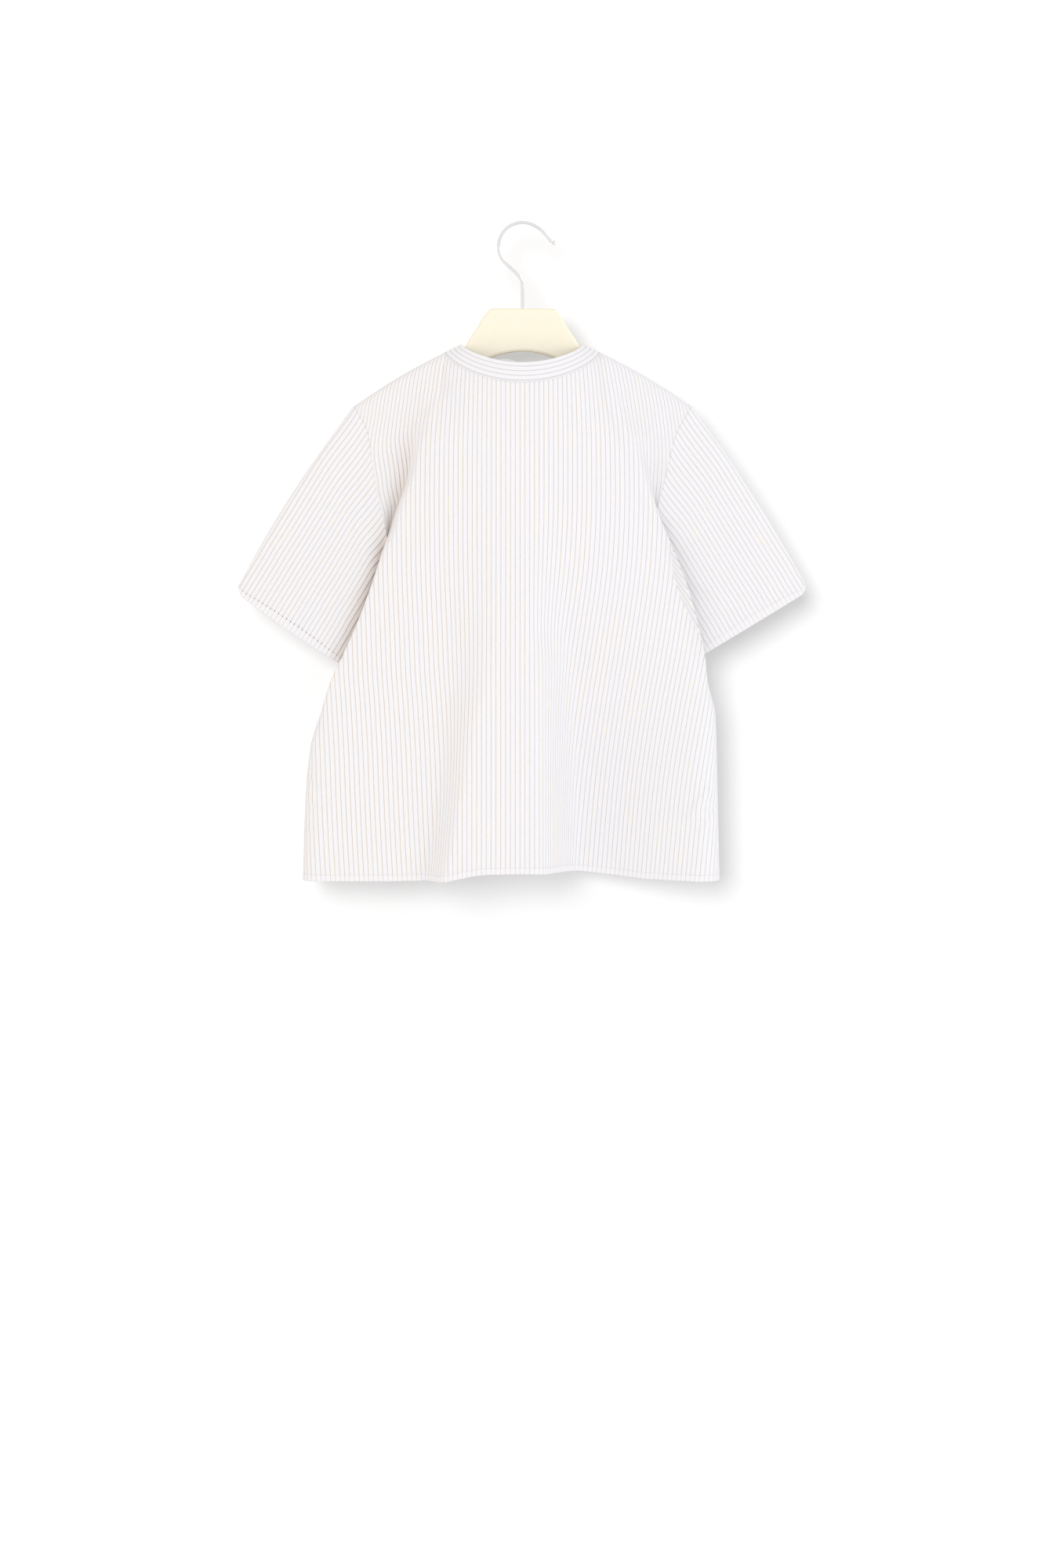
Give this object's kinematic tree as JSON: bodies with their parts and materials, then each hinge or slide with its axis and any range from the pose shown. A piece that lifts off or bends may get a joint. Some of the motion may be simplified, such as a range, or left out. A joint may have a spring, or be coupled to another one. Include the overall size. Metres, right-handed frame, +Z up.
{
  "type": "button-up shirt on a hanger",
  "caption": "Child's short-sleeved button-up shirt with a narrow stand collar and fine vertical stripes, hanging on a flat hanger with a wire hook.",
  "frame": {"origin": "where a rail carries the hook, at the top of the hook's inner side", "axes": "+Z up, -Y out of the shirt's back, +Y out of its buttoned front, +X to the wearer's right"},
  "size_m": [0.5267, 0.0952, 0.6034],
  "materials": {
    "striped_cotton": "thin plain-weave cotton, white with fine grey-brown stripes",
    "buttons": "pearly",
    "hanger": "smooth cream",
    "hook": "polished wire"
  },
  "bodies": {
    "root": {"back": "striped_cotton", "front_left": "striped_cotton", "front_right": "striped_cotton", "placket": "striped_cotton", "collar_band": "striped_cotton", "sleeve_left": "striped_cotton", "sleeve_right": "striped_cotton", "button_1": "buttons", "button_2": "buttons", "button_3": "buttons", "button_4": "buttons", "button_5": "buttons", "button_6": "buttons", "hanger_body": "hanger", "hanger_hook": "hook"}
  },
  "joints": []
}
